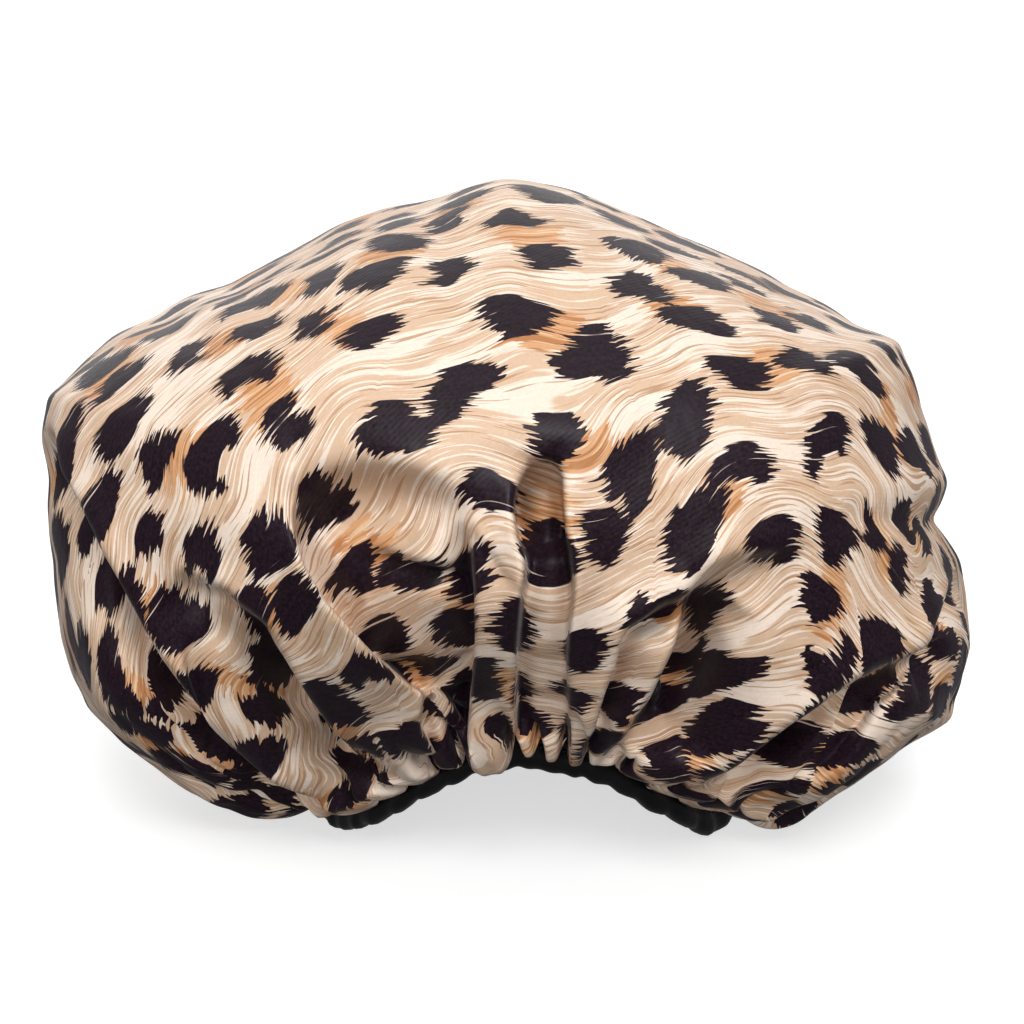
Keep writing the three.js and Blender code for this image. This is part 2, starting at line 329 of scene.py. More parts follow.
def pleat(phi):
    f = (phi - PB[0]) % 360
    b = np.r_[PB - PB[0], 360.]
    i = np.clip(np.searchsorted(b, f, side='right') - 1, 0, len(PB) - 1)
    w = b[i + 1] - b[i]
    t = (f - b[i]) / w
    soft = (1 - np.abs(2 * t - 1) ** 2.2) ** .7
    full = (1 - np.abs(2 * t - 1) ** 3) ** .6
    return 2 * np.where(i < 12, full, soft) - 1, i, w, np.minimum(t, 1 - t) * np.radians(w)


# free folds round the sides and back: azimuth at the mouth, drift, where it fades out, depth, width
def side_folds():
    rng = np.random.default_rng(11)
    out = []
    a = -36.
    while a < 222:
        out.append((a, rng.uniform(-16, 16), rng.uniform(.46, .66), rng.uniform(5, 13), rng.uniform(5., 9.)))
        a += rng.uniform(11, 24)
    return out


SF = side_folds()


def waves(phi, v, seed, n, lo, hi):
    """sum of slow waves along the round with drift down the cloth, about -1..1"""
    rng = np.random.default_rng(seed)
    out = np.zeros(len(phi))
    for _ in range(n):
        m = rng.integers(lo, hi)
        out += np.sin(np.radians(phi) * m + rng.uniform(-14, 14) * v + rng.uniform(0, 6.28)) * (.5 + .5 * np.sin(
            np.radians(phi) * rng.integers(2, 7) + rng.uniform(-6, 6) * v + rng.uniform(0, 6.28)))
    return out / math.sqrt(n)


def ring_v(t):
    return .85 * t + .15 * (1 - np.exp(-t / .1)) / (1 - math.exp(-10.))


# the cap's outline in the frame: how far it reaches from (510, 520), every 5 degrees, y down
RIM = np.array([434, 454, 466, 478, 481, 481, 462, 444, 430, 420, 408, 392, 344, 299, 283, 280, 276, 275, 272, 274, 275, 288, 314, 335,
                352, 368, 392, 410, 424, 436, 450, 461, 464, 464, 462, 460, 462, 466, 476, 477, 462, 442, 416, 396, 373, 359, 350, 344,
                342, 338, 336, 330, 333, 338, 342, 338, 337, 333, 330, 330, 332, 338, 346, 356, 367, 384, 402, 426, 428, 428, 432, 438], float)


def shift_in_view(P, dep, dx, dy):
    """move points by pixels of the frame, square to the line of sight"""
    px = dep / CF
    return P + np.stack([dx * px, -dy * px * math.sin(CE), -dy * px * math.cos(CE)], 1)


def fit_outline(P, X, v):
    """move P so that X, the cloth as it is seen, comes to the outline, fading towards the middle and the hem"""
    d = project(X)[0] - [510, 520]
    a = np.degrees(np.arctan2(d[:, 1], d[:, 0])) % 360
    rim = np.zeros(120)
    np.maximum.at(rim, np.minimum((a / 3).astype(int), 119), np.where(v < .95, np.hypot(d[:, 0], d[:, 1]), 0))
    rim = np.convolve(np.r_[rim[-1], rim, rim[0]], [.25, .5, .25], 'valid')
    q, dep = project(P)
    d = q - [510, 520]
    a = np.degrees(np.arctan2(d[:, 1], d[:, 0])) % 360
    r = np.hypot(d[:, 0], d[:, 1])
    have = np.interp(a, np.arange(-1, 121) * 3 + 1.5, np.r_[rim[-1], rim, rim[0]])
    want = np.interp(a, np.arange(73) * 5, np.r_[RIM, RIM[0]])
    off = np.minimum(np.abs(a - 62), np.abs(a - 118))
    arch = np.where((a > 62) & (a < 118), 1 - sstep(0, 8, off), 1)
    k = (want / have - 1) * sstep(.45, 1, r / have) * (1 - sstep(.89, .955, v)) * arch
    return shift_in_view(P, dep, d[:, 0] * k, d[:, 1] * k)


def front_close(th):
    """azimuth of the ring mesh's points, closer together at the front"""
    u = (th - math.radians(ARCH[1]) + np.pi) % (2 * np.pi) - np.pi
    return ARCH[1] + np.degrees(u - .42 * np.sin(u))


def fold_up(P, phi, v, T, E):
    """the filled cap P with its folds and gathers"""
    N = vertex_normals(P, T)
    q, dep = project(P)
    eye = np.array([0, -CD * math.cos(CE), CH + CD * math.sin(CE)])
    to = eye - P
    to /= np.linalg.norm(to, axis=1, keepdims=True)
    face = (N * to).sum(1)
    front = sstep(-.05, .25, face)
    rise, drop, lx, ly = front_folds(q[:, 0], q[:, 1])
    mid = 1 - sstep(30, 50, np.abs((phi - ARCH[1] + 540) % 360 - 180))
    hf = front * (rise * (1 - sstep(.86, .93, v)) - drop * (1 - .85 * mid * sstep(.85, .92, v)) * (1 - sstep(.935, .955, v)))
    front = front * (1 - sstep(.89, .945, v))
    fw = sstep(-.02, .30, -face + .12)
    h = np.zeros(len(P))
    rr = np.hypot(P[:, 0], P[:, 1])
    for a0, dr, vt, dp, w in SF:
        along = np.clip((v - vt) / (.97 - vt), 0, 1)
        dist = ((phi - a0 - dr * (1 - along) + 180) % 360 - 180) * np.pi / 180 * rr
        ww = w * (.75 + .7 * (1 - along))
        env = sstep(0, .5, along) * (1 - .45 * sstep(.75, 1., along))
        h += fw * dp * env * (-np.exp(-(dist / ww) ** 2) + .35 * np.exp(-((np.abs(dist) - 2.1 * ww) / (1.2 * ww)) ** 2))
    pl, pi_, pw, gap = pleat(phi)
    isf = pi_ < 12          # gathers of the front, which the folds above already run into
    rng = np.random.default_rng(3)
    v0 = np.where(isf, rng.uniform(.82, .85, len(PB))[pi_], rng.uniform(.62, .80, len(PB))[pi_])
    am = rng.uniform(.8, 1.2, len(PB))[pi_]
    wide = np.radians(pw) * HEM_R
    amp = np.where(isf, np.minimum(wide * .46, 5.0), np.minimum(wide * .26, 2.3)) * am
    h = h + amp * pl * sstep(v0, np.where(isf, .915, .95), v) * (1 - .55 * sstep(.95, .975, v))
    # the cloth doubles in deep between the rolls, and is packed tight inside the binding
    deep = np.where(isf, rng.uniform(5.5, 9., len(PB))[pi_], rng.uniform(2.4, 4.4, len(PB))[pi_])
    h -= deep * np.exp(-(gap * np.minimum(rr, 95.) / np.where(isf, 1.15, 2.3)) ** 2) * sstep(v0 + .03, .91, v) * (1 - .8 * sstep(.95, .97, v))
    h *= 1 - .45 * np.where(isf, 0, sstep(.15, .75, -N[:, 2])) * (1 - sstep(.95, .97, v))
    h -= np.maximum(h - .5, 0) * sstep(.957, .972, v)
    h += (1.0 * np.sin(np.radians(phi) * 140) - .5) * sstep(.978, .99, v)
    # slack of the cloth: broad dents, and fine creases that run up from the gathers
    h += 1.1 * waves(phi, v, 21, 8, 2, 9) * sstep(.08, .4, v) * (1 - sstep(.86, .95, v))
    h += np.where(isf, 0, .9) * np.sin(np.radians(phi) * 84 + 2. * np.sin(np.radians(phi) * 5)) * sstep(.84, .92, v) * (1 - sstep(.945, .96, v))
    h += .38 * waves(phi, v, 22, 14, 24, 90) * sstep(.5, .8, v) * (1 - sstep(.93, .97, v))
    w = sstep(.2, .65, face)[:, None]
    way = to * w + N * (1 - w)
    way /= np.linalg.norm(way, axis=1, keepdims=True)
    X = P + way * hf[:, None] + N * h[:, None]
    X = shift_in_view(X, dep, lx * front, ly * front)
    # the tips of the front rolls hang over the top of the binding
    X[:, 2] -= np.where(isf, np.clip(wide * .22, .8, 2.5), 0) * (.5 + .5 * pl) * sstep(.885, .93, v) * (1 - sstep(.95, .967, v))
    # between the rolls the cloth lies against the top of the binding, never behind it
    d = X[:, :2] - MID
    r = np.hypot(d[:, 0], d[:, 1])
    least = 69.3 - .5 * np.maximum(X[:, 2] - lift(phi) - 16, 0)
    d *= np.where(v < .958, np.maximum(least / np.maximum(r, 1), 1), 1)[:, None]
    near = sstep(.55, .8, v)[:, None]
    X[:, :2] = X[:, :2] * (1 - near) + (MID + d) * near
    # right and left of the front arch the gathers end on top of the binding and leave it in sight
    az = (phi + 180) % 360 - 180
    before = X.copy()
    for a0, a1, a2, a3, up, tip in ((-82, -73, -43, -35, 11.2, 2.6), (-142, -132, -110, -102, 8.6, 1.6)):
        k = sstep(a0, a1, az) * (1 - sstep(a2, a3, az)) * sstep(.84, .89, v) * (1 - sstep(.95, .962, v))
        d = X[:, :2] - MID
        r = np.hypot(d[:, 0], d[:, 1])
        X[:, :2] -= d * (k * .40 * np.maximum(r - 69, 0) / np.maximum(r, 1))[:, None]
        X[:, 2] += k * .9 * np.maximum(lift(phi) + up - tip * pl + .10 * np.maximum(r - 69, 0) - X[:, 2], 0)
    drawn = X - before
    X = soften(X, E, 2, .5, keep=sstep(.965, .985, v))
    X[:, 2] = np.maximum(X[:, 2], .7)
    return dict(P=P, N=N, X=X, h=h, hf=hf, way=way, face=face, q=q, drawn=drawn)


def sculpt(K):
    kk, th, T = disc(K)
    phi = front_close(th)
    v = ring_v(kk / K)
    E = edges_of(T)
    P = base_pos(phi, v)
    for _ in range(2):
        P = fit_outline(P, P, v)
    P = soften(P, E, 6, .5, keep=sstep(.84, .92, v))
    X = fold_up(P, phi, v, T, E)['X']
    P = fit_outline(P, X, v)
    c = fold_up(P, phi, v, T, E)
    c.update(K=K, kk=kk, th=th, phi=phi, v=v, T=T, E=E)
    return c


# ------------------------------------------------------------------ print: where each bit of cloth lies on the flat round
def fold_cuts(c):
    """the fold lines as azimuth by v, in order round the mouth from the back"""
    ok = c['face'] > .04
    q, phi, v = c['q'][ok], c['phi'][ok], c['v'][ok]
    out = []
    for e in CUTS:
        hi, over, pts = EDGES[e][0], EDGES[e][4], np.array(EDGES[e][6])[:, :2]
        t = np.gradient(pts, axis=0)
        t /= np.linalg.norm(t, axis=1, keepdims=True)
        side = np.stack([t[:, 1], -t[:, 0]], 1) * (over if hi == 'R' else -over)
        a = []
        for x, y in pts + side:
            i = np.argmin((q[:, 0] - x) ** 2 + (q[:, 1] - y) ** 2)
            a.append((v[i], (phi[i] - 90) % 360 + 90))
        a = np.array(sorted(a))
        out.append((a[:, 0], a[:, 1]))
    for a0, dr, vt, dp, w in SF:
        vv = np.linspace(vt, .97, 8)
        along = (vv - vt) / (.97 - vt)
        a = a0 + dr * (1 - along)
        if a0 < 90:
            a = a + 360
        if a.min() < 92 or a.max() > 448:
            continue
        out.append((vv, a))
    out.sort(key=lambda o: np.interp(.8, *o))
    return out


def way_down(c):
    """length of the cloth from the crown down to each point; the folds between rolls don't add to it"""
    K, X, n = c['K'], c['P'], 1440
    f = np.arange(n) / n
    S = np.zeros((K + 1, n))
    last = np.repeat(X[:1], n, 0)
    for k in range(1, K + 1):
        ring = X[1 + 3 * k * (k - 1):1 + 3 * k * (k + 1)]
        i = np.floor(f * 6 * k).astype(int)
        t = (f * 6 * k - i)[:, None]
        here = ring[i] * (1 - t) + ring[(i + 1) % (6 * k)] * t
        S[k] = S[k - 1] + np.linalg.norm(here - last, axis=1)
        last = here
    bell = np.hanning(17)[1:-1] / np.hanning(17).sum()
    S = sum(b * np.roll(S, j - 7, 1) for j, b in enumerate(bell))
    g = (c['th'] / (2 * np.pi) % 1) * n
    i = np.floor(g).astype(int) % n
    t = g - np.floor(g)
    return S[c['kk'], i] * (1 - t) + S[c['kk'], (i + 1) % n] * t


def way_round(c, n=2880):
    """length of the folded cloth round each ring, from the back (azimuth 90), by azimuth"""
    K, X = c['K'], c['X']
    g = 90 + np.arange(n + 1) * 360. / n
    A = np.zeros((K + 1, n + 1))
    for k in range(1, K + 1):
        o = 1 + 3 * k * (k - 1)
        p = (c['phi'][o:o + 6 * k] - 90) % 360 + 90
        i = np.argsort(p)
        ring = X[o:o + 6 * k][i]
        a = np.r_[0, np.cumsum(np.linalg.norm(np.diff(np.r_[ring, ring[:1]], axis=0), axis=1))]
        a = np.interp(g, np.r_[p[i], p[i][0] + 360], a, left=0)
        A[k] = a - a[0]
    return A


def flat_place(c):
    """for each corner of each triangle, its place on the flat cloth (mm)"""
    K, kk, T = c['K'], c['kk'], c['T']
    cuts = fold_cuts(c)
    w = way_down(c)
    A = way_round(c)
    n = A.shape[1] - 1
    phi = (c['phi'] - 90) % 360 + 90
    tp = phi[T]
    tp = np.where(tp - tp[:, :1] > 180, tp - 360, np.where(tp - tp[:, :1] < -180, tp + 360, tp))
    mp, mv = tp.mean(1), c['v'][T].mean(1)
    sec = np.zeros(len(T), int)
    for vv, aa in cuts:
        sec += mp > np.interp(mv, vv, aa)
    edge = np.array([90.] + [np.interp(.72, *o) for o in cuts] + [450.])
    mid = .5 * (edge[:-1] + edge[1:])
    cen = np.repeat(mid[sec][:, None], 3, 1)
    k = kk[T]

    def round_to(p):
        f = np.clip((p - 90) * n / 360, 0, n - 1e-6)
        i = f.astype(int)
        return A[k, i] * (1 - f + i) + A[k, i + 1] * (f - i)

    # near the crown the round lies flat; from the folds down each one carries its own width of cloth
    tw = w[T]
    b = sstep(.52, .80, c['v'])[T]
    turn = np.degrees((round_to(tp) - round_to(cen)) / np.maximum(tw, 1.))
    ang = np.radians(cen + (tp - cen) * (1 - b) + turn * b)
    return np.stack([tw * np.cos(ang), tw * np.sin(ang)], -1).reshape(-1, 2), sec


# hair of the print: it runs along x turned by HAIR_TURN, in slow waves
HAIR_TURN = math.radians(24.)


def hair_field(U):
    rng = np.random.default_rng(5)
    c, s = math.cos(HAIR_TURN), math.sin(HAIR_TURN)
    x = U[:, 0] * c + U[:, 1] * s
    y = -U[:, 0] * s + U[:, 1] * c
    q = y.copy()
    gx = np.zeros(len(U))
    gy = np.ones(len(U))
    for n in range(26):
        wl = rng.uniform(55, 150) if n < 13 else rng.uniform(24, 52)
        a = rng.uniform(-.9, .9)
        kx, ky = 2 * np.pi / wl * math.cos(a), 2 * np.pi / wl * math.sin(a)
        p = rng.uniform(0, 6.28)
        A = wl * (rng.uniform(.012, .030) if n < 13 else rng.uniform(.009, .020))
        q += A * np.sin(kx * x + ky * y + p)
        gx += A * kx * np.cos(kx * x + ky * y + p)
        gy += A * ky * np.cos(kx * x + ky * y + p)
    g = np.hypot(gx, gy)
    fx, fy = gy / g, -gx / g
    return x, q, np.stack([fx * c - fy * s, fx * s + fy * c], 1)


def spot_layout():
    """dark spots spread over the round, and warm patches between some neighbours"""
    rng = np.random.default_rng(74)
    R = R_FLAT * 1.25
    pts = np.zeros((0, 3))
    for _ in range(32000):
        p = rng.uniform(-R, R, 2)
        d = 15.0 + 6.0 * rng.random()
        if np.hypot(*p) < R and (((pts[:, 0] - p[0]) ** 2 + (pts[:, 1] - p[1]) ** 2) > (.5 * (d + pts[:, 2])) ** 2).all():
            pts = np.vstack([pts, [p[0], p[1], d]])
    _, _, f = hair_field(pts[:, :2])
    spots = []
    for (x, y, d), fl in zip(pts, f):
        a = math.atan2(fl[1], fl[0]) + rng.normal(0, .28)
        size = d * rng.uniform(.385, .50) * (1.03 + .15 * float(sstep(160., 210., math.hypot(x, y))))
        asp = rng.uniform(1.0, 1.9)
        spots.append(dict(x=x, y=y, a=a, rx=size * math.sqrt(asp), ry=size / math.sqrt(asp),
                          c3=rng.uniform(.04, .16), p3=rng.uniform(0, 6.28), c2=rng.uniform(0, .12), p2=rng.uniform(0, 6.28),
                          bite=rng.random() < .26, ba=rng.uniform(0, 6.28), tone=rng.random()))
    patches = []
    used = set()
    order = rng.permutation(len(pts))
    for i in order:
        if i in used or rng.random() < .30:
            continue
        d = np.hypot(*(pts[:, :2] - pts[i, :2]).T)
        near = [j for j in np.argsort(d)[1:4] if d[j] < 25 and j not in used]
        if not near:
            continue
        js = near[:1 + int(rng.random() < .45)]
        used.update([i] + js)
        m = np.mean([pts[i, :2]] + [pts[j, :2] for j in js], 0)
        e = pts[js[0], :2] - pts[i, :2]
        patches.append(dict(x=m[0], y=m[1], a=math.atan2(e[1], e[0]) + rng.normal(0, .3), rx=d[js[0]] * rng.uniform(.42, .58),
                            ry=rng.uniform(5.0, 8.0), c3=.08, p3=rng.uniform(0, 6.28), c2=.08, p2=rng.uniform(0, 6.28),
                            bite=False, ba=0, tone=rng.random()))
    return spots, patches


def shape_dist(s, dx, dy):
    c, n = math.cos(s['a']), math.sin(s['a'])
    x, y = (dx * c + dy * n) / s['rx'], (-dx * n + dy * c) / s['ry']
    r = np.hypot(x, y)
    a = np.arctan2(y, x)
    m = math.sqrt(s['rx'] * s['ry'])
    d = (r - 1 - s['c3'] * np.cos(3 * a + s['p3']) - s['c2'] * np.cos(2 * a + s['p2'])) * m
    if s['bite']:
        bx, by = math.cos(s['ba']) * .95, math.sin(s['ba']) * .95
        d = np.maximum(d, (.62 - np.hypot(x - bx, y - by)) * m)
    return d


def print_fields(U, flow, shapes, reach=32., far=14.):
    """distance to the nearest shape, how it grows along the hair, and that shape's own tone"""
    best = np.full(len(U), far)
    grow = np.zeros(len(U))
    tone = np.zeros(len(U))
    cell = 32.
    ix = np.floor(U / cell).astype(int) + 400
    key = ix[:, 0] * 1000 + ix[:, 1]
    o = np.argsort(key, kind='stable')
    ks = key[o]
    for s in shapes:
        cx, cy = int(math.floor(s['x'] / cell)) + 400, int(math.floor(s['y'] / cell)) + 400
        for gx in (cx - 1, cx, cx + 1):
            a = np.searchsorted(ks, gx * 1000 + cy - 1)
            b = np.searchsorted(ks, gx * 1000 + cy + 2)
            if a == b:
                continue
            idx = o[a:b]
            dx, dy = U[idx, 0] - s['x'], U[idx, 1] - s['y']
            d = shape_dist(s, dx, dy)
            m = d < best[idx]
            if not m.any():
                continue
            idx, dx, dy, d = idx[m], dx[m], dy[m], d[m]
            fx, fy = flow[idx, 0], flow[idx, 1]
            best[idx] = d
            grow[idx] = (shape_dist(s, dx + 2 * fx, dy + 2 * fy) - shape_dist(s, dx - 2 * fx, dy - 2 * fy)) / 4
            tone[idx] = s['tone']
    return best, np.abs(grow), tone


# ------------------------------------------------------------------ objects
def add_mesh(name, V, F, mat, body="root", smooth=True):
    me = bpy.data.meshes.new(name)
    V = np.asarray(V, float) * MM
    if isinstance(F, np.ndarray):
        n, k = F.shape
        me.vertices.add(len(V))
        me.vertices.foreach_set("co", V.ravel())
        me.loops.add(n * k)
        me.loops.foreach_set("vertex_index", F.ravel().astype(np.int32))
        me.polygons.add(n)
        me.polygons.foreach_set("loop_start", np.arange(0, n * k, k, dtype=np.int32))
        me.update(calc_edges=True)
    else:
        me.from_pydata(V.tolist(), [], F)
    me.validate()
    me.polygons.foreach_set("use_smooth", np.full(len(me.polygons), smooth))
    me.materials.append(mat)
    me.update()
    ob = bpy.data.objects.new(name, me)
    bpy.context.scene.collection.objects.link(ob)
    return ob


def corner_attr(me, name, A):
    at = me.attributes.new(name, 'FLOAT_VECTOR', 'CORNER')
    at.data.foreach_set("vector", np.ascontiguousarray(A, dtype=np.float32).ravel())


class Nodes:
    """small helper for writing node trees"""

    def __init__(self, mat):
        mat.use_nodes = True
        self.t = mat.node_tree
        self.t.nodes.clear()
        self.out = self.t.nodes.new('ShaderNodeOutputMaterial')
        self.bsdf = self.t.nodes.new('ShaderNodeBsdfPrincipled')
        self.t.links.new(self.bsdf.outputs[0], self.out.inputs['Surface'])

    def put(self, sock, val):
        if isinstance(val, bpy.types.NodeSocket):
            self.t.links.new(val, sock)
        else:
            sock.default_value = val

    def attr(self, name, field='Vector'):
        n = self.t.nodes.new('ShaderNodeAttribute')
        n.attribute_name = name
        return n.outputs[field]

    def split(self, vec):
        n = self.t.nodes.new('ShaderNodeSeparateXYZ')
        self.put(n.inputs[0], vec)
        return n.outputs[0], n.outputs[1], n.outputs[2]

    def math(self, op, a, b=0.0, clamp=False):
        n = self.t.nodes.new('ShaderNodeMath')
        n.operation = op
        n.use_clamp = clamp
        self.put(n.inputs[0], a)
        if len(n.inputs) > 1:
            self.put(n.inputs[1], b)
        return n.outputs[0]

    def ramp(self, x, a, b, lo=0.0, hi=1.0):
        n = self.t.nodes.new('ShaderNodeMapRange')
        n.interpolation_type = 'SMOOTHSTEP'
        for i, val in enumerate((x, a, b, lo, hi)):
            self.put(n.inputs[i], val)
        return n.outputs[0]

    def place(self, vec, scale, loc=(0, 0, 0), rot=(0, 0, 0)):
        n = self.t.nodes.new('ShaderNodeMapping')
        self.put(n.inputs['Vector'], vec)
        n.inputs['Scale'].default_value = scale
        n.inputs['Location'].default_value = loc
        n.inputs['Rotation'].default_value = rot
        return n.outputs[0]

    def noise(self, vec, scale=1.0, detail=2.0, rough=.5):
        n = self.t.nodes.new('ShaderNodeTexNoise')
        n.noise_dimensions = '3D'
        self.put(n.inputs['Vector'], vec)
        n.inputs['Scale'].default_value = scale
        n.inputs['Detail'].default_value = detail
        n.inputs['Roughness'].default_value = rough
        return n.outputs[0]

    def wave(self, vec, scale, direction='X', dist=0.0):
        n = self.t.nodes.new('ShaderNodeTexWave')
        n.wave_type = 'BANDS'
        n.bands_direction = direction
        n.wave_profile = 'SIN'
        self.put(n.inputs['Vector'], vec)
        n.inputs['Scale'].default_value = scale
        n.inputs['Distortion'].default_value = dist
        return n.outputs['Fac']

    def mix(self, f, a, b):
        n = self.t.nodes.new('ShaderNodeMix')
        n.data_type = 'RGBA'
        self.put(n.inputs[0], f)
        self.put(n.inputs[6], a)
        self.put(n.inputs[7], b)
        return n.outputs[2]

    def bump(self, height, strength, distance, normal=None):
        n = self.t.nodes.new('ShaderNodeBump')
        n.inputs['Strength'].default_value = strength
        n.inputs['Distance'].default_value = distance
        self.put(n.inputs['Height'], height)
        if normal is not None:
            self.put(n.inputs['Normal'], normal)
        return n.outputs[0]


def rgb(r, g, b):
    f = lambda c: c / 12.92 if c <= .04045 else ((c + .055) / 1.055) ** 2.4
    return (f(r / 255), f(g / 255), f(b / 255), 1.0)


def printed_satin():
    m = bpy.data.materials.new("printed_satin")
    n = Nodes(m)
    hair = n.attr("hair")
    cloth = n.attr("cloth")
    s, sg, st = n.split(n.attr("spot"))
    c, cg, ct = n.split(n.attr("patch"))
    # ground: tan hair with pale locks, and thin paler and darker hairs drawn close together over it
    a = n.noise(n.place(hair, (.050, .80, 1), (0, 0, 11.3)), detail=1.5, rough=.5)
    b = n.noise(n.place(hair, (.046, 1.25, 1), (3, 9, 47.1)), detail=1.5, rough=.5)
    d = n.noise(n.place(hair, (.052, 1.45, 1), (7, 2, 83.7)), detail=1.5, rough=.5)
    lock = n.noise(n.place(hair, (.020, .11, 1), (1, 5, 23.9)), detail=2)
    lock = n.math('ADD', lock, n.math('MULTIPLY', n.math('SUBTRACT', a, .5), .30))
    ground = n.mix(n.ramp(lock, .53, .58), rgb(222, 189, 160), rgb(248, 228, 210))
    ground = n.mix(n.ramp(b, .545, .585, 0, .9), ground, rgb(250, 233, 217))
    ground = n.mix(n.ramp(d, .595, .63, 0, .8), ground, rgb(184, 140, 104))
    # warm patches
    fc = n.noise(n.place(hair, (.060, .90, 1), (0, 4, 131.5)), detail=1.5, rough=.55)
    fcd = n.math('MULTIPLY', n.math('SUBTRACT', fc, .5), n.math('MULTIPLY', cg, 22.0))
    edge_c = n.math('ADD', c, n.math('ADD', fcd, n.math('MULTIPLY', n.math('SUBTRACT', fc, .5), 5.0)))
    warm_m = n.ramp(edge_c, .5, -.5)
    e = n.noise(n.place(hair, (.045, .95, 1), (5, 1, 171.1)), detail=1.5)
    warm = n.mix(n.ramp(e, .45, .60), rgb(220, 166, 121), rgb(187, 127, 80))
    warm = n.mix(n.ramp(b, .57, .62, 0, .8), warm, rgb(240, 208, 172))
    col = n.mix(warm_m, ground, warm)
    # dark spots with hairy ends
    f1 = n.noise(n.place(hair, (.075, 1.35, 1), (2, 6, 211.7)), detail=1.5, rough=.55)
    f1 = n.math('SUBTRACT', f1, .5)
    f2 = n.noise(n.place(hair, (.035, .34, 1), (8, 3, 251.3)), detail=1)
    f2 = n.math('SUBTRACT', f2, .5)
    push = n.math('MULTIPLY', n.math('ADD', n.math('MULTIPLY', f1, 13.0), n.math('MULTIPLY', f2, 6.0)), sg)
    push = n.math('ADD', push, n.math('MULTIPLY', f1, 2.0))
    edge_s = n.math('ADD', s, push)
    dark_m = n.ramp(edge_s, .22, -.22)
    dark = n.mix(n.ramp(f1, -.1, .2), rgb(27, 12, 29), rgb(15, 5, 18))
    # a few pale hairs lie over the rims of the spots
    w = n.noise(n.place(hair, (.022, .95, 1), (6, 7, 311.9)), detail=1)
    over = n.math('MULTIPLY', n.ramp(w, .70, .72), n.ramp(s, -5.0, -2.0))
    dark = n.mix(over, dark, rgb(224, 204, 188))
    col = n.mix(dark_m, col, dark)
    # dye takes unevenly on the weave
    tint = n.noise(n.place(cloth, (.9, .9, 1)), detail=3, rough=.7)
    col = n.mix(n.ramp(tint, .35, .75, 0, .10), col, rgb(120, 92, 70))
    n.put(n.bsdf.inputs['Base Color'], col)
    rough = n.ramp(tint, .3, .7, .40, .52)
    n.put(n.bsdf.inputs['Roughness'], rough)
    n.bsdf.inputs['Specular IOR Level'].default_value = .22
    n.bsdf.inputs['Sheen Weight'].default_value = .08
    n.bsdf.inputs['Sheen Roughness'].default_value = .38
    n.bsdf.inputs['Sheen Tint'].default_value = (.95, .90, .97, 1)
    # twill lines and slight crinkle of the satin
    tw = n.wave(n.place(cloth, (1, 1, 1), rot=(0, 0, math.radians(52))), .16 / .62, 'X', 0.4)
    ck = n.noise(n.place(cloth, (.085, .085, 1), (0, 0, 5)), detail=3, rough=.5)
    nb = n.bump(ck, .55, .0012)
    nb = n.bump(tw, .16, .00012, nb)
    n.put(n.bsdf.inputs['Normal'], nb)
    return m


def plain_cloth(name, dark, light, rough, sheen, scale, thread=.00012, crinkle=.0006, spec=.4):
    m = bpy.data.materials.new(name)
    n = Nodes(m)
    co = n.t.nodes.new('ShaderNodeTexCoord').outputs['Object']
    a = n.noise(n.place(co, (60, 60, 60)), detail=3)
    col = n.mix(n.ramp(a, .35, .7), dark, light)
    n.put(n.bsdf.inputs['Base Color'], col)
    n.put(n.bsdf.inputs['Roughness'], n.ramp(a, .3, .7, rough - .06, rough + .06))
    n.bsdf.inputs['Specular IOR Level'].default_value = spec
    n.bsdf.inputs['Sheen Weight'].default_value = sheen
    n.bsdf.inputs['Sheen Roughness'].default_value = .4
    n.bsdf.inputs['Sheen Tint'].default_value = (.9, .88, .95, 1)
    w1 = n.wave(n.place(co, (1, 1, 1), rot=(.3, .5, .8)), scale, 'X', .6)
    w2 = n.wave(n.place(co, (1, 1, 1), rot=(.9, .2, .4)), scale, 'Z', .6)
    nb = n.bump(a, .5, crinkle)
    nb = n.bump(n.math('MAXIMUM', w1, w2), .35, thread, nb)
    n.put(n.bsdf.inputs['Normal'], nb)
    return m


M_PRINT = printed_satin()
M_LINING = plain_cloth("lining_satin", rgb(24, 22, 28), rgb(34, 31, 38), .42, .15, 260)
M_BIND = plain_cloth("binding_satin", rgb(10, 9, 12), rgb(17, 15, 19), .40, .12, 300, spec=.45)
M_THREAD = plain_cloth("black_thread", rgb(16, 14, 18), rgb(30, 27, 33), .55, .2, 900)
M_WHITE = plain_cloth("white_thread", rgb(226, 222, 212), rgb(240, 237, 230), .6, .2, 900)
M_ELASTIC = plain_cloth("elastic_knit", rgb(214, 209, 198), rgb(232, 228, 219), .7, .2, 420, .0003)

# ------------------------------------------------------------------ printed cloth
K = 180
C = sculpt(K)
U, sector = flat_place(C)
along, across, flow = hair_field(U)
spots, patches = spot_layout()
shell = add_mesh("printed_shell", C['X'], C['T'], M_PRINT)
me = shell.data
zero = np.zeros(len(U))
corner_attr(me, "cloth", np.stack([U[:, 0], U[:, 1], zero], 1))
corner_attr(me, "hair", np.stack([along, across, zero], 1))
corner_attr(me, "spot", np.stack(print_fields(U, flow, spots), 1))
corner_attr(me, "patch", np.stack(print_fields(U, flow, patches), 1))
uv = me.uv_layers.new(name="OFBake")
tt = C['kk'] / K
uvv = np.stack([.5 + .49 * tt * np.cos(C['th']), .5 + .49 * tt * np.sin(C['th'])], 1)
uv.data.foreach_set("uv", uvv[C['T'].ravel()].astype(np.float32).ravel())
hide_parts("outer_shell")
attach(shell, "root")
# the cut's radius: length from the crown to the cut edge on the cloth as built, mean over its rim
R_CUT = float(way_down(C)[C['kk'] == K].mean()) * MM

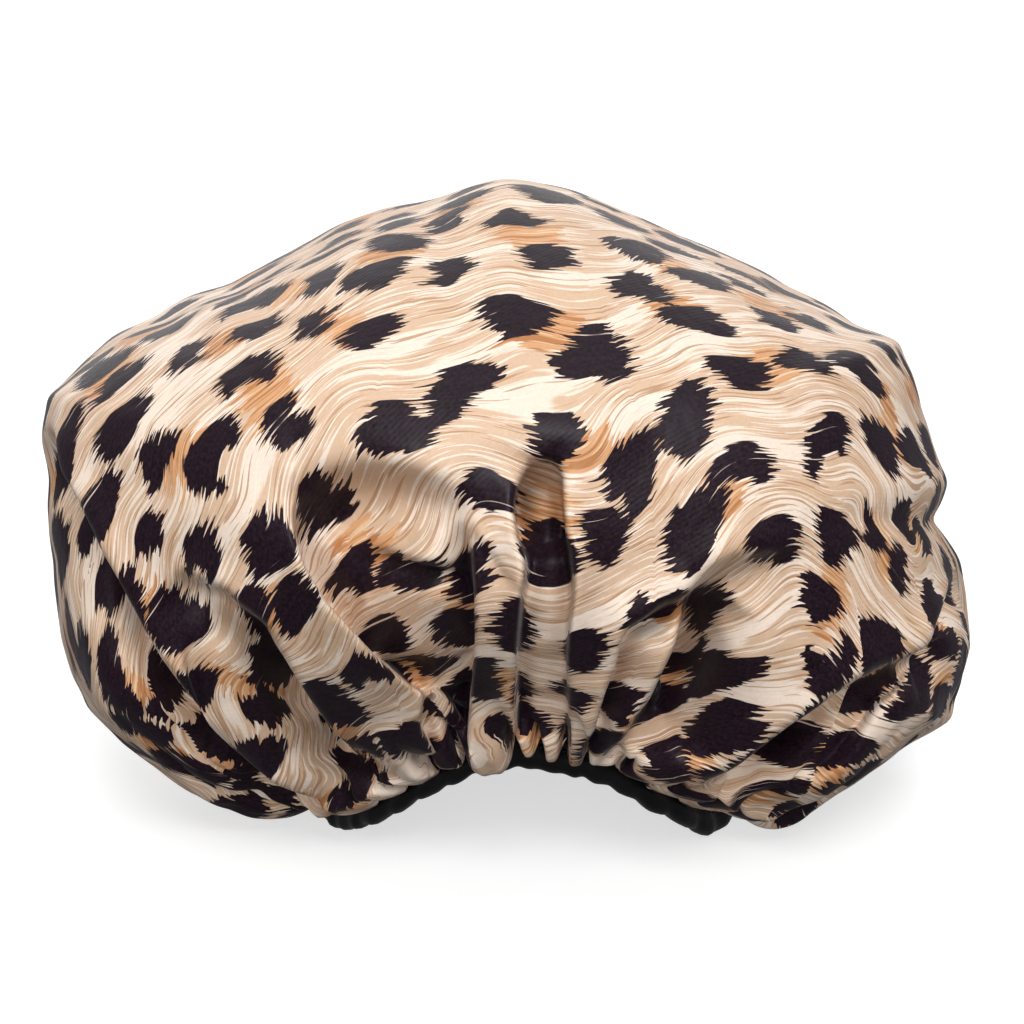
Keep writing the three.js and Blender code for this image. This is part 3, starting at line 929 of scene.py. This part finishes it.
# ------------------------------------------------------------------ lining: a smaller round, loose inside the folds
def eroded(h, E, n):
    for _ in range(n):
        m = h.copy()
        np.minimum.at(m, E[:, 0], h[E[:, 1]])
        np.minimum.at(m, E[:, 1], h[E[:, 0]])
        h = m
    return h


def lining_points(step=2):
    low = soften(eroded(np.minimum(C['h'], 2.), C['E'], 7), C['E'], 12, .5)
    low = low - 3.4 + .7 * waves(C['phi'], C['v'], 31, 8, 5, 30) * sstep(.2, .6, C['v']) - .7
    low = low + (-3.0 - low) * sstep(.945, .972, C['v'])
    deep = soften(eroded(np.minimum(C['hf'], 0.), C['E'], 12), C['E'], 14, .5)
    X = C['P'] + C['way'] * deep[:, None] + C['N'] * low[:, None]
    # where the shell is drawn in on top of the binding the lining is drawn in at least as far
    out = C['X'][:, :2] - MID
    out /= np.maximum(np.hypot(out[:, 0], out[:, 1]), 1)[:, None]
    into = soften(eroded((C['drawn'][:, :2] * out).sum(1), C['E'], 6), C['E'], 5, .5)
    X[:, :2] += out * into[:, None]
    X[:, 2] -= soften(eroded(-C['drawn'][:, 2], C['E'], 6), C['E'], 5, .5)
    K2 = K // step
    kk, th, T = disc(K2)
    pick = np.zeros(len(kk), int)
    o = 1
    for k in range(1, K2 + 1):
        big = 1 + 3 * (step * k) * (step * k - 1)
        pick[o:o + 6 * k] = big + step * np.arange(6 * k)
        o += 6 * k
    Y = X[pick]
    Y = soften(Y, edges_of(T), 3, .5, keep=sstep(.95, .97, C['v'][pick]))
    # it is gathered in with the shell, and its gathers stand inwards
    ang = np.radians(C['phi'][pick])
    vp = C['v'][pick]
    tuck = 3.0 * sstep(.54, .76, vp) * (1 - sstep(.945, .965, vp)) * (1 - np.cos(48 * ang + .8 * np.sin(7 * ang)))
    Y -= C['N'][pick] * tuck[:, None]
    Y[:, 2] = np.maximum(Y[:, 2], 3.)
    ruf = 1.4 * np.sin(ang * 90) * sstep(.972, .988, C['v'][pick])
    Y[:, 0] += ruf * np.cos(ang)
    Y[:, 1] += ruf * np.sin(ang)
    return Y, T, kk / K2, th


LX, LT, lt, lth = lining_points()
lining = add_mesh("lining", LX, LT, M_LINING)
luv = lining.data.uv_layers.new(name="OFBake")
luvv = np.stack([.5 + .49 * lt * np.cos(lth), .5 + .49 * lt * np.sin(lth)], 1)
luv.data.foreach_set("uv", luvv[LT.ravel()].astype(np.float32).ravel())
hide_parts("waterproof_lining")
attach(lining, "root")
# length from the crown to the cut edge 4.1 mm inside the shell, mean over the rim, without the folds
R_LIN = float(way_down(dict(C, P=C['P'] - 4.1 * C['N']))[C['kk'] == K].mean()) * MM


# ------------------------------------------------------------------ binding: a tape folded round the gathered edge, itself ruffled
def ruffle(phi):
    """-1 between the gathers to 1 on them, softened, with a smaller pucker on top"""
    a = pleat(phi)[0]
    b = .5 * (pleat(phi - .8)[0] + pleat(phi + .8)[0])
    return .5 * a + .5 * b + .30 * waves(phi, 0 * phi, 51, 9, 60, 130)


# section of the folded tape, from the top of the outer leaf round the fold and back inside it:
# [radius, height, how far the ruffle moves it, how much the pinch of the stitching draws it in]
TAPE = [(67.55, 10.0, 1.15, 0), (67.45, 9.2, 1.1, .2), (67.25, 8.3, 1.0, .7), (67.15, 7.5, .9, 1.0), (67.3, 6.6, 1.0, .6), (67.6, 5.4, 1.2, .1),
        (67.8, 4.0, 1.3, 0), (67.7, 2.6, 1.25, 0), (67.2, 1.3, 1.1, 0), (66.2, .4, .9, 0), (64.6, 0., .7, 0), (62.8, .1, .6, 0), (61.5, .7, .6, 0),
        (60.8, 1.8, .7, 0), (60.6, 3.2, .7, 0), (60.6, 5.0, .7, 0), (60.8, 6.6, .6, -.4), (61.0, 7.5, .6, -.7), (60.9, 8.6, .6, -.3), (60.8, 9.7, .7, 0),
        (61.1, 10.1, .7, 0), (61.5, 9.8, .7, 0), (61.6, 8.0, .6, -.6), (61.4, 5.0, .6, 0), (61.6, 2.6, .5, 0), (62.6, 1.2, .5, 0), (64.6, .8, .6, 0),
        (66.0, 1.4, .8, 0), (66.7, 2.8, 1.1, 0), (66.8, 5.0, 1.1, 0), (66.4, 7.4, .9, 1.0), (66.7, 9.0, 1.0, .2), (67.0, 10.1, 1.1, 0)]
NB = 1260
bphi = np.arange(NB) * 360. / NB
brf = np.convolve(np.r_[ruffle(bphi)[-8:], ruffle(bphi), ruffle(bphi)[:8]], np.hanning(19)[1:-1] / np.hanning(19).sum(), 'valid')
blift = lift(bphi)
bsag = .8 * waves(bphi, 0 * bphi, 52, 6, 9, 30)


def tape_point(phi, rf, li, sag, r, z, mv, pin):
    up = sstep(0, 10, z)
    # the fold hangs lower under a gather where the arch is off the table, and never under the table
    hang = np.minimum(li / 6., 1.) * (-.9 * rf + .5 * sag) * (1 - .6 * up) + (1 - up) * .55 * (1 - rf) * .5
    zz = z + li + hang + .45 * rf * up
    return ring_point(phi, r + .55 * mv * rf + .5 * sag - .55 * pin, np.maximum(zz, .02))


BV = np.stack([tape_point(bphi, brf, blift, bsag, *t) for t in TAPE], 1)
nt = len(TAPE)
i0, j0 = np.meshgrid(np.arange(NB), np.arange(nt), indexing='ij')
i1, j1 = (i0 + 1) % NB, (j0 + 1) % nt
BF = np.stack([i0 * nt + j0, i0 * nt + j1, i1 * nt + j1, i1 * nt + j0], -1).reshape(-1, 4)
binding = add_mesh("hem_tape", BV.reshape(-1, 3), BF, M_BIND)
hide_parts("hem_binding")
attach(binding, "root")


def on_tape(phi, z, out):
    """a point on the tape's outer face"""
    phi = np.asarray(phi, float)
    rf = np.interp(phi % 360, np.r_[bphi, 360], np.r_[brf, brf[0]])
    sg = np.interp(phi % 360, np.r_[bphi, 360], np.r_[bsag, bsag[0]])
    zz = np.array([t[1] for t in TAPE[:11]])[::-1]
    r, mv, pin = (np.interp(z, zz, np.array([t[k] for t in TAPE[:11]])[::-1]) for k in (0, 2, 3))
    return tape_point(phi, rf, lift(phi), sg, r + out, z, mv, pin)


def thread_run(name, runs, rad, mat, node):
    """short lengths of thread, each a tapered bar along its points"""
    V, F = [], []
    for line in runs:
        line = np.asarray(line, float)
        n = len(line)
        d = np.gradient(line, axis=0)
        d /= np.linalg.norm(d, axis=1, keepdims=True)
        side = np.cross(d, [0, 0, 1.])
        side = np.where(np.linalg.norm(side, axis=1, keepdims=True) < .2, np.cross(d, [1., .3, 0]), side)
        side /= np.linalg.norm(side, axis=1, keepdims=True)
        up = np.cross(side, d)
        o = len(V)
        for i in range(n):
            t = i / (n - 1)
            r = rad * (.35 + .65 * math.sin(math.pi * min(max(t, .02), .98)) ** .5)
            for a in range(6):
                V.append(line[i] + r * (math.cos(a * math.pi / 3) * side[i] + math.sin(a * math.pi / 3) * up[i]))
        for i in range(n - 1):
            for a in range(6):
                F.append((o + i * 6 + a, o + i * 6 + (a + 1) % 6, o + (i + 1) * 6 + (a + 1) % 6, o + (i + 1) * 6 + a))
        F.append(tuple(o + a for a in range(5, -1, -1)))
        F.append(tuple(o + (n - 1) * 6 + a for a in range(6)))
    ob = add_mesh(name, np.array(V), F, mat)
    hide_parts(node)
    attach(ob, "root")
    return ob


ST = 138
runs = []
for i in range(ST):
    a = (i + np.linspace(.08, .92, 6)) * 360. / ST
    runs.append(on_tape(a, 7.45, .12 + .18 * np.sin(np.linspace(0, math.pi, 6))))
topstitch = thread_run("topstitch", runs, .26, M_THREAD, "binding_topstitch")
lo, hi = (np.array(c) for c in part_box("binding_join_seam"))
jm = .5 * (lo + hi) / MM
ja = math.degrees(math.atan2(jm[1] - MID[1], jm[0] - MID[0]))
runs = []
zs = np.linspace(.9, 6.4, 8)
for i in range(7):
    za = np.linspace(zs[i], zs[i + 1], 5)
    da = (.28 if i % 2 else -.28) * np.linspace(1, -1, 5)
    runs.append(np.concatenate([on_tape([ja + d], z, .16) for d, z in zip(da, za)]))
join = thread_run("join_seam", runs, .24, M_THREAD, "binding_join_seam")
# elastic: a flat knitted band inside the binding, ribbed along its length
ez = (1.2, 8.2)
EB = 720
ephi = np.arange(EB) * 360. / EB
rib = np.linspace(0, 1, 13)
sec = [(64.55 + .1 * math.cos(t * 12 * math.pi), ez[0] + t * (ez[1] - ez[0])) for t in rib]
sec += [(63.55 - .1 * math.cos(t * 12 * math.pi), ez[0] + t * (ez[1] - ez[0])) for t in rib[::-1]]
EV = np.stack([ring_point(ephi, r + .12 * np.sin(np.radians(ephi) * 180), z + lift(ephi)) for r, z in sec], 1)
ne = len(sec)
i0, j0 = np.meshgrid(np.arange(EB), np.arange(ne), indexing='ij')
i1, j1 = (i0 + 1) % EB, (j0 + 1) % ne
EF = np.stack([i0 * ne + j0, i1 * ne + j0, i1 * ne + j1, i0 * ne + j1], -1).reshape(-1, 4)
elastic = add_mesh("elastic", EV.reshape(-1, 3), EF, M_ELASTIC)
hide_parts("elastic_band")
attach(elastic, "root")
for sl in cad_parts["elastic_lap_tack"].material_slots:
    sl.material = M_WHITE

# ------------------------------------------------------------------ camera, floor and light
cam = bpy.data.cameras.new("camera")
cam.lens = 65.0
cam.sensor_width = 36.0
cam.sensor_fit = 'HORIZONTAL'
cob = bpy.data.objects.new("camera", cam)
bpy.context.scene.collection.objects.link(cob)
eye = Vector((0, -CD * math.cos(CE), CH + CD * math.sin(CE))) * MM
cob.location = eye
cob.rotation_euler = (Vector((0, 0, CH * MM)) - eye).to_track_quat('-Z', 'Y').to_euler()
bpy.context.scene.camera = cob

fm = bpy.data.materials.new("floor")
fn = Nodes(fm)
fn.bsdf.inputs['Base Color'].default_value = (.50, .50, .50, 1)
fn.bsdf.inputs['Emission Color'].default_value = (1, 1, 1, 1)
fn.bsdf.inputs['Emission Strength'].default_value = .64
fn.bsdf.inputs['Roughness'].default_value = .8
fn.bsdf.inputs['Specular IOR Level'].default_value = .1
fl = bpy.data.meshes.new("floor")
S = 30.0
fl.from_pydata([(-S, -S, 0), (S, -S, 0), (S, S, 0), (-S, S, 0)], [], [(0, 1, 2, 3)])
fl.materials.append(fm)
flo = bpy.data.objects.new("floor", fl)
bpy.context.scene.collection.objects.link(flo)
flo.visible_diffuse = False
flo.visible_glossy = False

world = bpy.data.worlds.new("studio")
bpy.context.scene.world = world
world.use_nodes = True
bg = world.node_tree.nodes['Background']
bg.inputs[0].default_value = (1, 1, 1, 1)
wt = world.node_tree
wc = wt.nodes.new('ShaderNodeTexCoord')
wx = wt.nodes.new('ShaderNodeSeparateXYZ')
wr = wt.nodes.new('ShaderNodeMapRange')
wr.interpolation_type = 'SMOOTHSTEP'
for k, val in ((1, -.35), (2, .9), (3, .10), (4, .36)):
    wr.inputs[k].default_value = val
wt.links.new(wc.outputs['Generated'], wx.inputs[0])
wt.links.new(wx.outputs[2], wr.inputs[0])
# behind the floor's far edge the room is plain white
wl = wt.nodes.new('ShaderNodeLightPath')
wm = wt.nodes.new('ShaderNodeMath')
wm.operation = 'MAXIMUM'
wt.links.new(wr.outputs[0], wm.inputs[0])
wt.links.new(wl.outputs['Is Camera Ray'], wm.inputs[1])
wt.links.new(wm.outputs[0], bg.inputs[1])


def wide_light(name, way, energy, angle):
    li = bpy.data.lights.new(name, 'SUN')
    li.energy = energy
    li.angle = math.radians(angle)
    ob = bpy.data.objects.new(name, li)
    ob.rotation_euler = Vector(way).to_track_quat('-Z', 'Y').to_euler()
    bpy.context.scene.collection.objects.link(ob)
    return ob


wide_light("top_light", (.05, -.25, -1), .3, 70)
wide_light("front_light", (-.10, .63, -.77), 1.95, 24)
wide_light("back_light", (.1, -.88, -.46), .95, 70)
wide_light("low_light", (.14, .97, -.18), 1.35, 60).visible_glossy = False

bpy.context.scene.view_settings.view_transform = 'Standard'
